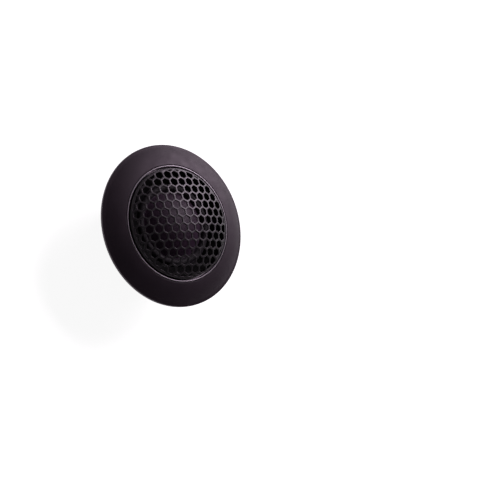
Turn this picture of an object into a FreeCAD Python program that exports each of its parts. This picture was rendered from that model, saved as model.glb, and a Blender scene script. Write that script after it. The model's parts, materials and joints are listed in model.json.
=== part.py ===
"""Car tweeter: soft dome driver in a flanged bezel with a threaded collar, lock nut and blade terminals.

Millimetres. +Z is the direction that the tweeter plays in. The origin is the centre of the flange's
rear face, the plane that seats on the panel. X runs along the rows of the mesh.
"""

import FreeCAD, Part
import math
import os

V = FreeCAD.Vector
ORIGIN = V(0, 0, 0)
UP = V(0, 0, 1)
FULL_TURN = 360.0
HEX_SIDES = 6
PAST = 1.0  # how far a cutting tool runs past the surface that it opens

# --- bezel: flange and collar ---
FLANGE_R = 25.0
FLANGE_EDGE_ROUND = 0.3
FLANGE_EDGE_TOP = 0.95
FLANGE_CROWN = 0.32  # how far the front swells above a straight cone
LIP_R = 18.15
LIP_WIDTH = 0.16
LIP_TOP = 3.85
SEAT_Z = 1.4
BORE_R = 17.25
COLLAR_END = -7.2
PILOT_R = 19.5
PILOT_END = -1.6
COLLAR_CHAMFER = 0.3

# --- mounting thread, right-handed ---
PITCH = 2.0
THREAD_ROOT_R = 18.7
THREAD_CREST_R = 19.5
THREAD_ROOT_WIDTH = 1.2
THREAD_CREST_WIDTH = 0.45
THREAD_TOP = -1.9
THREAD_BOTTOM = -6.8
HELIX_LOW = -10.0
HELIX_TURNS = 6
THREAD_CLEARANCE = 0.15
THREAD_SINK = 0.1  # how deep the ridge is rooted in the collar

# --- gasket, washer and lock nut ---
GASKET_INNER_R = 20.2
GASKET_OUTER_R = 23.2
GASKET_THICK = 1.0
WASHER_INNER_R = 20.35
WASHER_OUTER_R = 21.9
WASHER_TOP = -0.15
WASHER_BOTTOM = -0.75
NUT_TOP = -0.85
NUT_BOTTOM = -4.45
NUT_OUTER_R = 21.9
NUT_MINOR_R = 18.9
NUT_COUNTERBORE_R = 20.35
NUT_COUNTERBORE_END = -1.75
NUT_CHAMFER = 0.35
NUT_NOTCHES = 18
NOTCH_R = 1.25
NOTCH_CENTRE_R = 22.55

# --- trim ring ---
RING_INNER_R = 17.45
RING_OUTER_R = 18.05
RING_TOP = 3.98
RING_SHOULDER = 3.7
RING_FOOT_R = 17.08
RING_FOOT_TOP = 2.35

# --- pod housing ---
POD_FLANGE_R = 18.0
POD_FLANGE_TOP = 2.0
POD_R = 17.15
POD_POCKET_R = 16.5
SHELF_TOP = 0.1
SHELF_BOTTOM = -3.6
MOTOR_BORE_R = 13.25
MOTOR_STEP_Z = -2.9
MOTOR_LIP_R = 12.65
CHAMBER_R = 16.2
HOOKS = 4
HOOK_FIRST_DEG = 45.0
HOOK_ARC_DEG = 24.0
HOOK_TIP = -8.8
HOOK_BARB_R = 17.9
HOOK_BARB_END = -8.0

# --- mesh ---
MESH_APEX = 8.62
MESH_SPHERE_R = 37.1
MESH_THICK = 0.35
MESH_R = 17.0
MESH_SHOULDER_R = 0.3
HOLE_PITCH = 2.8
STRAND = 0.58
HOLE_SHIFT_X = 0.45
HOLE_SHIFT_Y = 0.245
BORDER_R = 16.6  # the outermost holes are cut short at this radius
LEAST_CUT = 0.45  # a hole that would reach less than this inside it is left out

# --- faceplate ---
PLATE_R = 16.45
PLATE_RIM_WIDTH = 0.35
PLATE_TOP = 3.3
PLATE_FOOT_R = 15.85
THROAT_R = 13.0
THROAT_TOP = 1.6
THROAT_FLARE_R = 14.4
THROAT_FLARE_Z = 2.65

# --- diaphragm: dome, surround, ring ---
DOME_BASE_R = 10.2
DOME_BASE_Z = 1.1
DOME_APEX = 5.5
DOME_THICK = 0.25
DOME_LAND_INNER_R = 10.0
DOME_LAND_OUTER_R = 10.35
DOME_LAND_BOTTOM = 0.95
DOME_LAND_TOP = 1.2
ROLL_BASE_Z = 1.0
ROLL_OUTER = 1.2
ROLL_THICK = 0.2
ROLL_CENTRE_R = DOME_LAND_OUTER_R + ROLL_OUTER
LAND_R = 13.6
LAND_THICK = 0.2
DIAPHRAGM_RING_INNER_R = 12.8
DIAPHRAGM_RING_R = 15.8
DIAPHRAGM_RING_TOP = 0.9

# --- motor: pot, magnet, plate, coil ---
GAP_TOP = -0.6
POT_INNER_R = 10.8
POT_UPPER_R = 13.2
POT_LOWER_R = 12.6
POT_FLOOR = -5.4
POT_BOTTOM = -7.2
PLATE_BOTTOM = -2.4
POLE_R = 9.75
MAGNET_R = 9.0
PAD_R = 8.5
PAD_TOP = 0.4
FORMER_INNER_R = 10.0
FORMER_OUTER_R = 10.1
FORMER_BOTTOM = -2.6
COIL_OUTER_R = 10.4
COIL_TOP = -0.5
COIL_BOTTOM = -2.5

# --- faceplate screws ---
SCREWS = 3
SCREW_FIRST_DEG = 90.0
SCREW_CIRCLE_R = 14.75
SCREW_SHANK_R = 0.75
SCREW_HEAD_R = 1.4
SCREW_HEAD_HEIGHT = 1.0
SCREW_TIP = 2.2
SCREW_SLOT_WIDTH = 0.4
SCREW_SLOT_DEPTH = 0.5

# --- conductors ---
STRIP_INNER_X = 14.4
STRIP_THICK = 0.4
STRIP_WIDTH = 2.0
TAB_INNER_X = 13.9
TAB_TOP = 0.35
NOTCH_TOP = 0.65
NOTCH_WIDTH = 2.4
SLOT_PLAY = 0.1
STRIP_BOTTOM = -8.5
STRIP_FOOT_TOP = -8.1
POSITIVE_FOOT_X = 12.4
LEAD_R = 0.1
LEAD_START_R = 10.25
LEAD_END_X = 14.2

# --- rear cap and terminal well ---
CAP_R = 16.1
CAP_TOP = -5.6
CAP_WALL = 1.2
CAP_TAPER_TOP = -11.0
CAP_REAR_R = 12.7
CAP_REAR = -16.5
CAP_REAR_WALL = 1.2
CAP_EDGE_ROUND = 0.5
WELL_HALF_X = 8.0
WELL_HALF_Y = 5.5
BOARD_TOP = -8.5
BOARD_BOTTOM = -9.7
WELL_CORNER = 1.0

# --- blades and rivets ---
BLADE_X = 4.0
BLADE_THICK = 0.8
POSITIVE_WIDTH = 4.8
NEGATIVE_WIDTH = 2.8
BLADE_TIP = -16.0
BLADE_TIP_CHAMFER = 0.7
BLADE_HOLE_R = 0.7
BLADE_HOLE_Z = -13.6
BLADE_FOOT_END_Y = 4.2
BLADE_FOOT_TOP = -7.7
RIVET_Y = 2.4
RIVET_SHANK_R = 0.8
RIVET_HEAD_R = 1.3
RIVET_HEAD_HEIGHT = 0.4

# --- capacitor, its leads and the foam ---
CAPACITOR_R = 2.5
CAPACITOR_HALF_LENGTH = 5.5
CAPACITOR_Y = 9.5
CAPACITOR_Z = -11.2
CAPACITOR_LEAD_R = 0.3
LEAD_BEND_X = 7.3
LEAD_HIGH_Z = -7.9
FOAM_R = 12.5
FOAM_NEAR_Y = -7.3
FOAM_TOP = -8.7
FOAM_BOTTOM = -13.6


def at(point):
    """Point in the XZ plane from its radius and height."""
    return V(point[0], 0, point[1])


def turned(outline):
    """Solid of revolution about Z.

    outline lists (radius, height) points in order round the section. An entry that is a pair of points
    is an arc that passes through the first and ends at the second.
    """
    start = outline[0]
    previous = start
    edges = []
    for step in outline[1:]:
        if isinstance(step[0], tuple):
            through, end = step
            edges.append(Part.Arc(at(previous), at(through), at(end)).toShape())
        else:
            end = step
            edges.append(Part.makeLine(at(previous), at(end)))
        previous = end
    if previous != start:
        edges.append(Part.makeLine(at(previous), at(start)))
    return Part.Face(Part.Wire(edges)).revolve(ORIGIN, UP, FULL_TURN)


def tube(inner_r, outer_r, low, high):
    """Plain ring about Z; a disc when the inner radius is zero."""
    return turned([(inner_r, low), (outer_r, low), (outer_r, high), (inner_r, high)])


def block(x_range, y_range, z_range):
    """Box between two limits along each axis."""
    size = [high - low for low, high in (x_range, y_range, z_range)]
    return Part.makeBox(*size, V(x_range[0], y_range[0], z_range[0]))


def polar(radius, degrees, height=0.0):
    """Point at a radius and an angle about Z."""
    turn = math.radians(degrees)
    return V(radius * math.cos(turn), radius * math.sin(turn), height)


def round_the_axis(shape, count, first_degrees):
    """Copies of a shape that is drawn at angle zero, spaced evenly about Z."""
    copies = []
    for index in range(count):
        copy = shape.copy()
        copy.rotate(ORIGIN, UP, first_degrees + index * FULL_TURN / count)
        copies.append(copy)
    return copies


def sector(inner_r, outer_r, low, high, degrees):
    """Piece of a ring, centred on angle zero."""
    section = Part.makePolygon(
        [at(p) for p in ((inner_r, low), (outer_r, low), (outer_r, high), (inner_r, high), (inner_r, low))]
    )
    piece = Part.Face(section).revolve(ORIGIN, UP, degrees)
    piece.rotate(ORIGIN, UP, -degrees / 2)
    return piece


def bent_wire(points, radius):
    """Round wire that follows straight runs, with a ball at each bend."""
    pieces = []
    for start, end in zip(points, points[1:]):
        run = end - start
        pieces.append(Part.makeCylinder(radius, run.Length, start, run))
    for corner in points[1:-1]:
        pieces.append(Part.makeSphere(radius, corner))
    return pieces[0].multiFuse(pieces[1:]).removeSplitter()


def sphere_radius(base_r, rise):
    """Radius of the sphere whose cap has this base radius and rise."""
    return (base_r**2 + rise**2) / (2 * rise)


def cap_point(apex, sphere_r, radius):
    """Point of a spherical cap's section at a radius from the axis."""
    return (radius, apex - sphere_r + math.sqrt(sphere_r**2 - radius**2))


def helical_ridge(inner_r, outer_r, inner_width, outer_width):
    """Thread ridge of trapezium section. Every ridge starts at the same height and angle."""
    helix = Part.makeHelix(PITCH, HELIX_TURNS * PITCH, inner_r)
    corners = [
        (inner_r, -inner_width / 2),
        (outer_r, -outer_width / 2),
        (outer_r, outer_width / 2),
        (inner_r, inner_width / 2),
        (inner_r, -inner_width / 2),
    ]
    section = Part.makePolygon([at(corner) for corner in corners])
    ridge = Part.Wire(helix.Edges).makePipeShell([section], True, True)
    ridge.translate(V(0, 0, HELIX_LOW))
    return ridge


def flank_width(radius, extra=0.0):
    """Axial width of the thread ridge at a radius."""
    slope = (THREAD_CREST_WIDTH - THREAD_ROOT_WIDTH) / (THREAD_CREST_R - THREAD_ROOT_R)
    return THREAD_ROOT_WIDTH + slope * (radius - THREAD_ROOT_R) + extra


def make_bezel():
    """Convex flange with a stepped bore, and the threaded collar behind it."""
    edge = FLANGE_R - FLANGE_EDGE_ROUND
    lip_edge = LIP_R + LIP_WIDTH
    middle_r = (edge + lip_edge) / 2
    middle_z = (FLANGE_EDGE_TOP + LIP_TOP) / 2 + FLANGE_CROWN
    shoulder = FLANGE_EDGE_ROUND * (1 - math.sqrt(0.5))
    lip_round = LIP_WIDTH / 2
    body = turned(
        [
            (BORE_R, COLLAR_END),
            (THREAD_ROOT_R - COLLAR_CHAMFER, COLLAR_END),
            (THREAD_ROOT_R, COLLAR_END + COLLAR_CHAMFER),
            (THREAD_ROOT_R, PILOT_END),
            (PILOT_R, PILOT_END),
            (PILOT_R, 0.0),
            (GASKET_INNER_R, 0.0),
            (GASKET_INNER_R, GASKET_THICK),
            (GASKET_OUTER_R, GASKET_THICK),
            (GASKET_OUTER_R, 0.0),
            (FLANGE_R - FLANGE_EDGE_ROUND, 0.0),
            (FLANGE_R, FLANGE_EDGE_ROUND),
            (FLANGE_R, FLANGE_EDGE_TOP - FLANGE_EDGE_ROUND),
            ((FLANGE_R - shoulder, FLANGE_EDGE_TOP - shoulder), (edge, FLANGE_EDGE_TOP)),
            ((middle_r, middle_z), (lip_edge, LIP_TOP)),
            ((LIP_R + lip_round * (1 - math.sqrt(0.5)), LIP_TOP), (LIP_R, LIP_TOP - lip_round)),
            (LIP_R, SEAT_Z),
            (BORE_R, SEAT_Z),
        ]
    )
    sunk_r = THREAD_ROOT_R - THREAD_SINK
    ridge = helical_ridge(sunk_r, THREAD_CREST_R, flank_width(sunk_r), THREAD_CREST_WIDTH)
    limits = tube(sunk_r - PAST, THREAD_CREST_R + PAST, THREAD_BOTTOM, THREAD_TOP)
    return body.fuse(ridge.common(limits)).removeSplitter()


def make_panel_gasket():
    """Flat foam ring that fills the groove under the flange."""
    return tube(GASKET_INNER_R, GASKET_OUTER_R, 0.0, GASKET_THICK)


def make_clamp_washer():
    """Loose flat washer between the nut and the panel."""
    return tube(WASHER_INNER_R, WASHER_OUTER_R, WASHER_BOTTOM, WASHER_TOP)


def make_lock_nut():
    """Internally threaded ring with finger notches round its edge."""
    blank = turned(
        [
            (NUT_MINOR_R, NUT_BOTTOM),
            (NUT_OUTER_R - NUT_CHAMFER, NUT_BOTTOM),
            (NUT_OUTER_R, NUT_BOTTOM + NUT_CHAMFER),
            (NUT_OUTER_R, NUT_TOP),
            (NUT_MINOR_R, NUT_TOP),
        ]
    )
    axial = 2 * THREAD_CLEARANCE
    tap_inner = THREAD_ROOT_R - THREAD_SINK
    tap_outer = THREAD_CREST_R + THREAD_CLEARANCE
    ridge = helical_ridge(tap_inner, tap_outer, flank_width(tap_inner, axial), flank_width(tap_outer, axial))
    threaded = tube(tap_inner - PAST, tap_outer + PAST, NUT_BOTTOM - PAST, (NUT_COUNTERBORE_END + NUT_TOP) / 2)
    counterbore = tube(NUT_MINOR_R - PAST, NUT_COUNTERBORE_R, NUT_COUNTERBORE_END, NUT_TOP + PAST)
    notch = Part.makeCylinder(NOTCH_R, NUT_TOP - NUT_BOTTOM + 2 * PAST, V(NOTCH_CENTRE_R, 0, NUT_BOTTOM - PAST))
    notches = Part.makeCompound(round_the_axis(notch, NUT_NOTCHES, 0.0))
    return blank.cut(ridge.common(threaded)).cut(counterbore).cut(notches)


def make_trim_ring():
    """Metal ring with a rounded top and a foot that the mesh stands inside."""
    return turned(
        [
            (RING_FOOT_R, POD_FLANGE_TOP),
            (RING_OUTER_R, POD_FLANGE_TOP),
            (RING_OUTER_R, RING_SHOULDER),
            (((RING_INNER_R + RING_OUTER_R) / 2, RING_TOP), (RING_INNER_R, RING_SHOULDER)),
            (RING_INNER_R, RING_FOOT_TOP),
            (RING_FOOT_R, RING_FOOT_TOP),
        ]
    )


def make_grille_mesh():
    """Thin domed cap with a skirt, cut by rows of hexagonal holes."""
    edge_r = MESH_R - MESH_SHOULDER_R
    edge = cap_point(MESH_APEX, MESH_SPHERE_R, edge_r)
    shoulder = MESH_SHOULDER_R * math.sqrt(0.5)
    inner_r = MESH_R - MESH_THICK
    inner_sphere = MESH_SPHERE_R - MESH_THICK
    inner_apex = MESH_APEX - MESH_THICK
    cap = turned(
        [
            (inner_r, POD_FLANGE_TOP),
            (MESH_R, POD_FLANGE_TOP),
            (MESH_R, edge[1] - MESH_SHOULDER_R),
            ((edge_r + shoulder, edge[1] - MESH_SHOULDER_R + shoulder), edge),
            (cap_point(MESH_APEX, MESH_SPHERE_R, edge_r / 2), (0.0, MESH_APEX)),
            (0.0, inner_apex),
            (cap_point(inner_apex, inner_sphere, inner_r / 2), cap_point(inner_apex, inner_sphere, inner_r)),
        ]
    )
    corner_r = (HOLE_PITCH - STRAND) / 2 / math.cos(math.pi / HEX_SIDES)
    corners = [polar(corner_r, 90 + side * FULL_TURN / HEX_SIDES) for side in range(HEX_SIDES + 1)]
    tool = Part.Face(Part.makePolygon(corners)).extrude(V(0, 0, MESH_APEX + PAST))
    row_step = HOLE_PITCH * math.sin(math.pi / 3)
    reach = int(MESH_R / row_step) + 1
    holes = []
    for row in range(-reach, reach + 1):
        for column in range(-reach, reach + 1):
            x = HOLE_SHIFT_X + HOLE_PITCH * (column + (row % 2) / 2)
            y = HOLE_SHIFT_Y + row_step * row
            nearest = min(math.hypot(x + corner.x, y + corner.y) for corner in corners)
            if nearest < BORDER_R - LEAST_CUT:
                holes.append(tool.translated(V(x, y, POD_FLANGE_TOP)))
    field = Part.makeCylinder(BORDER_R, MESH_APEX + PAST, V(0, 0, POD_FLANGE_TOP))
    return cap.cut(Part.makeCompound(holes).common(field))


def make_pod_housing():
    """Cup for the driver: front flange, shelf with a stepped motor bore, rear chamber wall and snap hooks."""
    cup = turned(
        [
            (MOTOR_BORE_R, SHELF_TOP),
            (POD_POCKET_R, SHELF_TOP),
            (POD_POCKET_R, POD_FLANGE_TOP),
            (POD_FLANGE_R, POD_FLANGE_TOP),
            (POD_FLANGE_R, SEAT_Z),
            (POD_R, SEAT_Z),
            (POD_R, COLLAR_END),
            (CHAMBER_R, COLLAR_END),
            (CHAMBER_R, SHELF_BOTTOM),
            (MOTOR_LIP_R, SHELF_BOTTOM),
            (MOTOR_LIP_R, MOTOR_STEP_Z),
            (MOTOR_BORE_R, MOTOR_STEP_Z),
        ]
    )
    arm = sector(CHAMBER_R, POD_R, HOOK_TIP, COLLAR_END, HOOK_ARC_DEG)
    barb_section = Part.makePolygon(
        [
            at((POD_R - THREAD_SINK, COLLAR_END)),
            at((HOOK_BARB_R, COLLAR_END)),
            at((HOOK_BARB_R, HOOK_BARB_END)),
            at((POD_R - THREAD_SINK, HOOK_TIP)),
            at((POD_R - THREAD_SINK, COLLAR_END)),
        ]
    )
    barb = Part.Face(barb_section).revolve(ORIGIN, UP, HOOK_ARC_DEG)
    barb.rotate(ORIGIN, UP, -HOOK_ARC_DEG / 2)
    hooks = round_the_axis(arm.fuse(barb), HOOKS, HOOK_FIRST_DEG)
    screw_hole = Part.makeCylinder(
        SCREW_SHANK_R, SHELF_TOP - SHELF_BOTTOM + 2 * PAST, V(SCREW_CIRCLE_R, 0, SHELF_BOTTOM - PAST)
    )
    slot_half = STRIP_WIDTH / 2 + SLOT_PLAY
    strip_slot = block(
        (STRIP_INNER_X - SLOT_PLAY, STRIP_INNER_X + STRIP_THICK + SLOT_PLAY),
        (-slot_half, slot_half),
        (SHELF_BOTTOM - PAST, SHELF_TOP + PAST),
    )
    cuts = round_the_axis(screw_hole, SCREWS, SCREW_FIRST_DEG) + round_the_axis(strip_slot, 2, 0.0)
    return cup.multiFuse(hooks).removeSplitter().cut(Part.makeCompound(cuts))


def make_faceplate():
    """Waveguide ring that flares from the throat, with blind holes for the screws."""
    ring = turned(
        [
            (THROAT_R, ROLL_BASE_Z + LAND_THICK / 2),
            (LAND_R, ROLL_BASE_Z + LAND_THICK / 2),
            (LAND_R, DIAPHRAGM_RING_TOP),
            (PLATE_FOOT_R, DIAPHRAGM_RING_TOP),
            (PLATE_FOOT_R, SHELF_TOP),
            (PLATE_R, SHELF_TOP),
            (PLATE_R, PLATE_TOP),
            (PLATE_R - PLATE_RIM_WIDTH, PLATE_TOP),
            ((THROAT_FLARE_R, THROAT_FLARE_Z), (THROAT_R, THROAT_TOP)),
        ]
    )
    hole = Part.makeCylinder(SCREW_SHANK_R, SCREW_TIP - SHELF_TOP, V(SCREW_CIRCLE_R, 0, SHELF_TOP))
    return ring.cut(Part.makeCompound(round_the_axis(hole, SCREWS, SCREW_FIRST_DEG)))


def make_dome():
    """Thin spherical cap with a flat land at its foot for the former and the surround."""
    rise = DOME_APEX - DOME_BASE_Z
    outer_sphere = sphere_radius(DOME_BASE_R, rise)
    inner_sphere = outer_sphere - DOME_THICK
    inner_apex = DOME_APEX - DOME_THICK
    centre_z = DOME_APEX - outer_sphere
    land_top_r = math.sqrt(outer_sphere**2 - (DOME_LAND_TOP - centre_z) ** 2)
    inner_foot_r = math.sqrt(inner_sphere**2 - (DOME_LAND_TOP - centre_z) ** 2)
    return turned(
        [
            (0.0, inner_apex),
            (cap_point(inner_apex, inner_sphere, inner_foot_r / 2), (inner_foot_r, DOME_LAND_TOP)),
            (DOME_LAND_INNER_R, DOME_LAND_BOTTOM),
            (DOME_LAND_OUTER_R, DOME_LAND_BOTTOM),
            (DOME_LAND_OUTER_R, DOME_LAND_TOP),
            (land_top_r, DOME_LAND_TOP),
            (cap_point(DOME_APEX, outer_sphere, land_top_r / 2), (0.0, DOME_APEX)),
        ]
    )


def make_surround():
    """Half-roll between the dome and the diaphragm ring, with a flat land outside it."""
    land_top = ROLL_BASE_Z + LAND_THICK / 2
    land_bottom = ROLL_BASE_Z - LAND_THICK / 2
    roll_inner = ROLL_OUTER - ROLL_THICK
    meet_r = ROLL_CENTRE_R + math.sqrt(ROLL_OUTER**2 - (land_top - ROLL_BASE_Z) ** 2)
    return turned(
        [
            (ROLL_CENTRE_R - ROLL_OUTER, ROLL_BASE_Z),
            ((ROLL_CENTRE_R, ROLL_BASE_Z + ROLL_OUTER), (meet_r, land_top)),
            (LAND_R, land_top),
            (LAND_R, land_bottom),
            (ROLL_CENTRE_R + roll_inner, land_bottom),
            (ROLL_CENTRE_R + roll_inner, ROLL_BASE_Z),
            ((ROLL_CENTRE_R, ROLL_BASE_Z + roll_inner), (ROLL_CENTRE_R - roll_inner, ROLL_BASE_Z)),
        ]
    )


def make_diaphragm_ring():
    """Ring under the surround, with a collar that presses on the pot, screw holes and two lead notches."""
    ring = turned(
        [
            (DIAPHRAGM_RING_INNER_R, GAP_TOP),
            (POT_UPPER_R, GAP_TOP),
            (POT_UPPER_R, SHELF_TOP),
            (DIAPHRAGM_RING_R, SHELF_TOP),
            (DIAPHRAGM_RING_R, DIAPHRAGM_RING_TOP),
            (DIAPHRAGM_RING_INNER_R, DIAPHRAGM_RING_TOP),
        ]
    )
    hole = Part.makeCylinder(
        SCREW_SHANK_R, DIAPHRAGM_RING_TOP - SHELF_TOP + 2 * PAST, V(SCREW_CIRCLE_R, 0, SHELF_TOP - PAST)
    )
    notch = block(
        (DIAPHRAGM_RING_INNER_R - PAST, DIAPHRAGM_RING_R + PAST),
        (-NOTCH_WIDTH / 2, NOTCH_WIDTH / 2),
        (GAP_TOP - PAST, NOTCH_TOP),
    )
    cuts = round_the_axis(hole, SCREWS, SCREW_FIRST_DEG) + round_the_axis(notch, 2, 0.0)
    return ring.cut(Part.makeCompound(cuts))


def make_coil_former():
    """Thin cylinder that carries the winding."""
    return tube(FORMER_INNER_R, FORMER_OUTER_R, FORMER_BOTTOM, DOME_LAND_BOTTOM)


def make_voice_coil():
    """Winding on the former, as one ring."""
    return tube(FORMER_OUTER_R, COIL_OUTER_R, COIL_BOTTOM, COIL_TOP)


def make_coil_leads():
    """Two fine wires from the coil's top edge to the conductors' tabs."""
    height = TAB_TOP + LEAD_R
    points = [V(LEAD_START_R, 0, COIL_TOP), V(LEAD_START_R, 0, height), V(LEAD_END_X, 0, height)]
    return Part.makeCompound(round_the_axis(bent_wire(points, LEAD_R), 2, 0.0))


def make_damping_pad():
    """Felt disc under the dome."""
    return tube(0.0, PAD_R, GAP_TOP, PAD_TOP)


def make_pole_plate():
    """Steel disc on the magnet."""
    return tube(0.0, POLE_R, PLATE_BOTTOM, GAP_TOP)


def make_magnet():
    """Neodymium disc."""
    return tube(0.0, MAGNET_R, POT_FLOOR, PLATE_BOTTOM)


def make_yoke_pot():
    """Steel pot with a step outside that seats on the shelf's lip."""
    return turned(
        [
            (0.0, POT_BOTTOM),
            (POT_LOWER_R, POT_BOTTOM),
            (POT_LOWER_R, MOTOR_STEP_Z),
            (POT_UPPER_R, MOTOR_STEP_Z),
            (POT_UPPER_R, GAP_TOP),
            (POT_INNER_R, GAP_TOP),
            (POT_INNER_R, POT_FLOOR),
            (0.0, POT_FLOOR),
        ]
    )


def make_faceplate_screws():
    """Three screws with slotted heads under the shelf."""
    shank = Part.makeCylinder(SCREW_SHANK_R, SCREW_TIP - SHELF_BOTTOM, V(SCREW_CIRCLE_R, 0, SHELF_BOTTOM))
    head_low = SHELF_BOTTOM - SCREW_HEAD_HEIGHT
    head = Part.makeCylinder(SCREW_HEAD_R, SCREW_HEAD_HEIGHT, V(SCREW_CIRCLE_R, 0, head_low))
    slot = block(
        (SCREW_CIRCLE_R - 2 * SCREW_HEAD_R, SCREW_CIRCLE_R + 2 * SCREW_HEAD_R),
        (-SCREW_SLOT_WIDTH / 2, SCREW_SLOT_WIDTH / 2),
        (head_low - PAST, head_low + SCREW_SLOT_DEPTH),
    )
    screw = shank.fuse(head).removeSplitter().cut(slot)
    return Part.makeCompound(round_the_axis(screw, SCREWS, SCREW_FIRST_DEG))


def make_strip(foot_inner_x):
    """Brass strip on +X: a tab under the coil lead, a run down through the shelf, and a foot inwards."""
    half = STRIP_WIDTH / 2
    outer_x = STRIP_INNER_X + STRIP_THICK
    run = block((STRIP_INNER_X, outer_x), (-half, half), (STRIP_BOTTOM, TAB_TOP))
    tab = block((TAB_INNER_X, outer_x), (-half, half), (SHELF_TOP, TAB_TOP))
    foot = block((foot_inner_x, outer_x), (-half, half), (STRIP_BOTTOM, STRIP_FOOT_TOP))
    return run.multiFuse([tab, foot]).removeSplitter()


def make_positive_strip():
    """Conductor from the coil to the capacitor, on the +X side."""
    return make_strip(POSITIVE_FOOT_X)


def make_negative_strip():
    """Conductor from the coil to the negative blade, on the -X side."""
    strip = make_strip(BLADE_X + NEGATIVE_WIDTH / 2)
    strip.rotate(ORIGIN, UP, FULL_TURN / 2)
    return strip


def rounded_box(half_x, half_y, low, high, corner):
    """Upright box with rounded vertical corners."""
    box = block((-half_x, half_x), (-half_y, half_y), (low, high))
    upright = [edge for edge in box.Edges if abs(edge.tangentAt(edge.FirstParameter).z) > math.cos(1.0)]
    return box.makeFillet(corner, upright)


def make_rear_cap():
    """Tapered cup that closes the pod, with a well for the terminals in its rear face."""
    inner_r = CAP_R - CAP_WALL
    rear_inner = CAP_REAR + CAP_REAR_WALL
    shell = turned(
        [
            (inner_r, CAP_TOP),
            (CAP_R, CAP_TOP),
            (CAP_R, CAP_TAPER_TOP),
            (CAP_REAR_R + CAP_EDGE_ROUND / 2, CAP_REAR + CAP_EDGE_ROUND),
            (CAP_REAR_R - CAP_EDGE_ROUND, CAP_REAR),
            (0.0, CAP_REAR),
            (0.0, rear_inner),
            (CAP_REAR_R - CAP_WALL / 2, rear_inner),
            (inner_r, CAP_TAPER_TOP),
        ]
    )
    well = rounded_box(
        WELL_HALF_X + CAP_WALL, WELL_HALF_Y + CAP_WALL, CAP_REAR, BOARD_BOTTOM, WELL_CORNER + CAP_WALL
    )
    mouth = rounded_box(WELL_HALF_X, WELL_HALF_Y, CAP_REAR - PAST, BOARD_BOTTOM + PAST, WELL_CORNER)
    return shell.fuse(well).removeSplitter().cut(mouth)


def blade_slot(x, width):
    """Space that a blade takes up where it passes through the board."""
    half = BLADE_THICK / 2
    return block((x - width / 2, x + width / 2), (-half, half), (BOARD_BOTTOM, BOARD_TOP))


def make_terminal_board():
    """Board over the well, with slots for the blades and holes for the rivets."""
    board = rounded_box(
        WELL_HALF_X + CAP_WALL, WELL_HALF_Y + CAP_WALL, BOARD_BOTTOM, BOARD_TOP, WELL_CORNER + CAP_WALL
    )
    cuts = [blade_slot(BLADE_X, POSITIVE_WIDTH), blade_slot(-BLADE_X, NEGATIVE_WIDTH)]
    for x in (-BLADE_X, BLADE_X):
        cuts.append(Part.makeCylinder(RIVET_SHANK_R, BOARD_TOP - BOARD_BOTTOM, V(x, RIVET_Y, BOARD_BOTTOM)))
    return board.cut(Part.makeCompound(cuts))


def make_blade(x, width):
    """Connector tab: upright blade with a chamfered tip and a hole, and a riveted foot on the board."""
    half = BLADE_THICK / 2
    outline = [
        V(x - width / 2, -half, BLADE_FOOT_TOP),
        V(x + width / 2, -half, BLADE_FOOT_TOP),
        V(x + width / 2, -half, BLADE_TIP + BLADE_TIP_CHAMFER),
        V(x + width / 2 - BLADE_TIP_CHAMFER, -half, BLADE_TIP),
        V(x - width / 2 + BLADE_TIP_CHAMFER, -half, BLADE_TIP),
        V(x - width / 2, -half, BLADE_TIP + BLADE_TIP_CHAMFER),
        V(x - width / 2, -half, BLADE_FOOT_TOP),
    ]
    upright = Part.Face(Part.makePolygon(outline)).extrude(V(0, BLADE_THICK, 0))
    foot = block((x - width / 2, x + width / 2), (half, BLADE_FOOT_END_Y), (BOARD_TOP, BLADE_FOOT_TOP))
    latch_hole = Part.makeCylinder(BLADE_HOLE_R, 2 * BLADE_THICK, V(x, -BLADE_THICK, BLADE_HOLE_Z), V(0, 1, 0))
    rivet_hole = Part.makeCylinder(RIVET_SHANK_R, BLADE_FOOT_TOP - BOARD_TOP, V(x, RIVET_Y, BOARD_TOP))
    return upright.fuse(foot).removeSplitter().cut(latch_hole).cut(rivet_hole)


def make_positive_blade():
    """Wider tab, on the +X side."""
    return make_blade(BLADE_X, POSITIVE_WIDTH)


def make_negative_blade():
    """Narrower tab, on the -X side."""
    return make_blade(-BLADE_X, NEGATIVE_WIDTH)


def make_blade_rivets():
    """One rivet through each blade's foot and the board."""
    rivets = []
    for x in (-BLADE_X, BLADE_X):
        low = BOARD_BOTTOM - RIVET_HEAD_HEIGHT
        shank = Part.makeCylinder(RIVET_SHANK_R, BLADE_FOOT_TOP - BOARD_BOTTOM, V(x, RIVET_Y, BOARD_BOTTOM))
        tail = Part.makeCylinder(RIVET_HEAD_R, RIVET_HEAD_HEIGHT, V(x, RIVET_Y, low))
        head = Part.makeCylinder(RIVET_HEAD_R, RIVET_HEAD_HEIGHT, V(x, RIVET_Y, BLADE_FOOT_TOP))
        rivets.append(shank.multiFuse([tail, head]).removeSplitter())
    return Part.makeCompound(rivets)


def make_capacitor():
    """Small capacitor lying beside the terminal well."""
    return Part.makeCylinder(
        CAPACITOR_R, 2 * CAPACITOR_HALF_LENGTH, V(-CAPACITOR_HALF_LENGTH, CAPACITOR_Y, CAPACITOR_Z), V(1, 0, 0)
    )


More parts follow.
